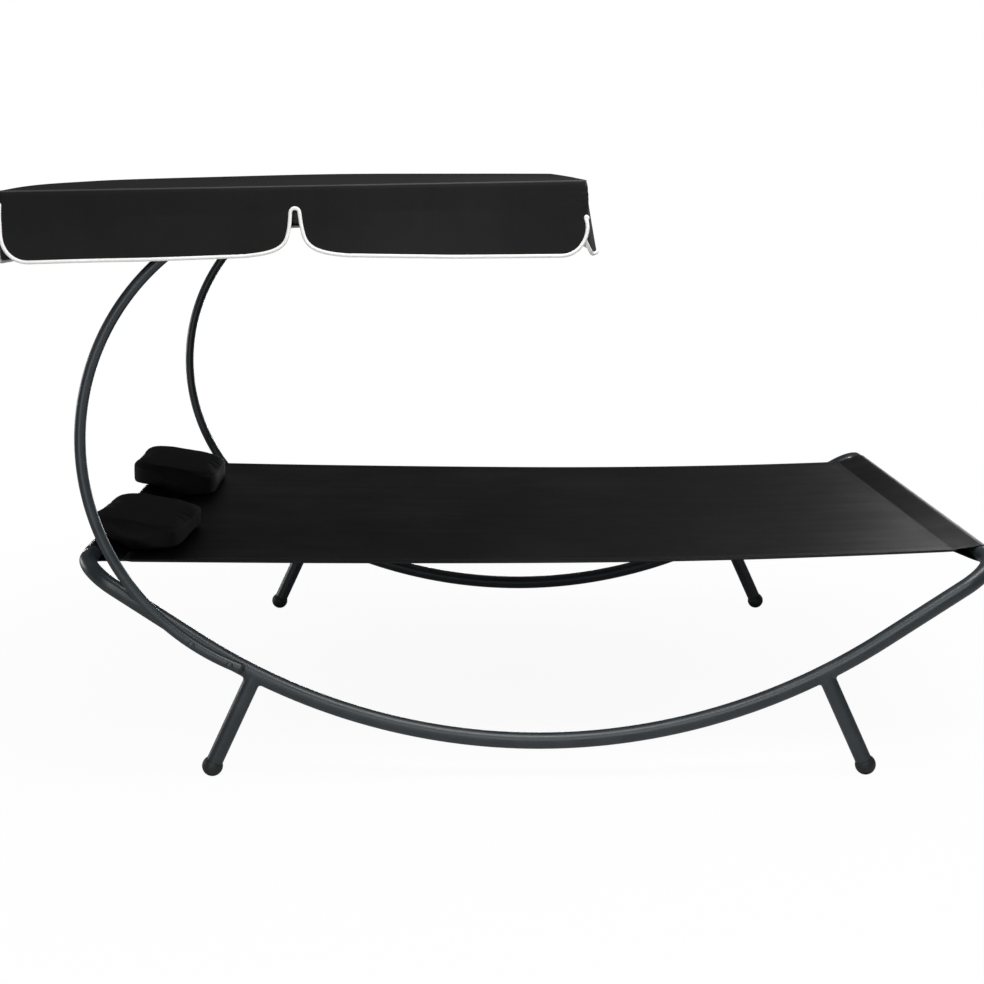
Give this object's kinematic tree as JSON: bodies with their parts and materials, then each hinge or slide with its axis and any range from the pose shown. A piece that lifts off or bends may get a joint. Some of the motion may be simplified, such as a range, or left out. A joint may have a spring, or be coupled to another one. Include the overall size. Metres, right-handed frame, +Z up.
{
  "type": "sun lounger with canopy",
  "caption": "Double sun lounger: bowed tube frame on splayed legs, sling bed, loose pillows and a flat canopy that tilts on two C-shaped arcs.",
  "frame": {"origin": "on the floor, below the middle of the whole object's box", "axes": "+X towards the foot end of the bed, +Y towards the far side, +Z up"},
  "size_m": [2.2442, 1.7642, 1.3631],
  "materials": {
    "coated_steel": "satin anthracite powder coat",
    "black_plastic": "matte moulded",
    "zinc_steel": "zinc plated",
    "sling_fabric": "woven coated mesh",
    "pillow_fabric": "matte woven",
    "canopy_fabric": "matte woven polyester",
    "white_piping": "woven binding"
  },
  "bodies": {
    "frame": {"bed_sling": "sling_fabric", "far_arc_lower_bolt": "zinc_steel", "far_arc_lower_nut": "zinc_steel", "far_arc_lower_plug": "black_plastic", "far_arc_upper_bolt": "zinc_steel", "far_arc_upper_nut": "zinc_steel", "far_arc_upper_plug": "black_plastic", "far_canopy_arc": "coated_steel", "far_foot_foot_cap": "black_plastic", "far_foot_joint_screw": "zinc_steel", "far_foot_leg": "coated_steel", "far_head_foot_cap": "black_plastic", "far_head_joint_screw": "zinc_steel", "far_head_leg": "coated_steel", "far_pivot_bolt": "zinc_steel", "far_side_rail": "coated_steel", "foot_end_bar": "coated_steel", "head_end_bar": "coated_steel", "near_arc_lower_bolt": "zinc_steel", "near_arc_lower_nut": "zinc_steel", "near_arc_lower_plug": "black_plastic", "near_arc_upper_bolt": "zinc_steel", "near_arc_upper_nut": "zinc_steel", "near_arc_upper_plug": "black_plastic", "near_canopy_arc": "coated_steel", "near_foot_foot_cap": "black_plastic", "near_foot_joint_screw": "zinc_steel", "near_foot_leg": "coated_steel", "near_head_foot_cap": "black_plastic", "near_head_joint_screw": "zinc_steel", "near_head_leg": "coated_steel", "near_pivot_bolt": "zinc_steel", "near_side_rail": "coated_steel"},
    "canopy": {"canopy_cover": "canopy_fabric", "far_canopy_side_rail": "coated_steel", "far_foot_flap_piping": "white_piping", "far_head_flap_piping": "white_piping", "far_pivot_bracket": "coated_steel", "foot_canopy_bar": "coated_steel", "foot_end_far_flap_piping": "white_piping", "foot_end_near_flap_piping": "white_piping", "head_canopy_bar": "coated_steel", "head_end_far_flap_piping": "white_piping", "head_end_near_flap_piping": "white_piping", "middle_canopy_bar": "coated_steel", "near_canopy_side_rail": "coated_steel", "near_foot_flap_piping": "white_piping", "near_head_flap_piping": "white_piping", "near_pivot_bracket": "coated_steel"},
    "near_pillow": {"near_pillow": "pillow_fabric"},
    "far_pillow": {"far_pillow": "pillow_fabric"},
    "near_pivot_knob": {"near_pivot_knob": "black_plastic"},
    "far_pivot_knob": {"far_pivot_knob": "black_plastic"}
  },
  "joints": [
    {"name": "canopy_tilt", "type": "hinge", "parent": "frame", "child": "canopy", "pos_m": [-0.47881, 0, 1.28285], "axis": [0, 1, 0], "range_deg": [-12, 20]},
    {"name": "near_knob_turn", "type": "hinge", "parent": "frame", "child": "near_pivot_knob", "pos_m": [-0.47881, -0.84, 1.28285], "axis": [0, -1, 0], "continuous": true},
    {"name": "far_knob_turn", "type": "hinge", "parent": "frame", "child": "far_pivot_knob", "pos_m": [-0.47881, 0.84, 1.28285], "axis": [0, 1, 0], "continuous": true},
    {"name": "near_pillow_lift", "type": "slide", "parent": "frame", "child": "near_pillow", "axis": [0, 0, 1], "range_m": [0, 0.25]},
    {"name": "far_pillow_lift", "type": "slide", "parent": "frame", "child": "far_pillow", "axis": [0, 0, 1], "range_m": [0, 0.25]}
  ]
}
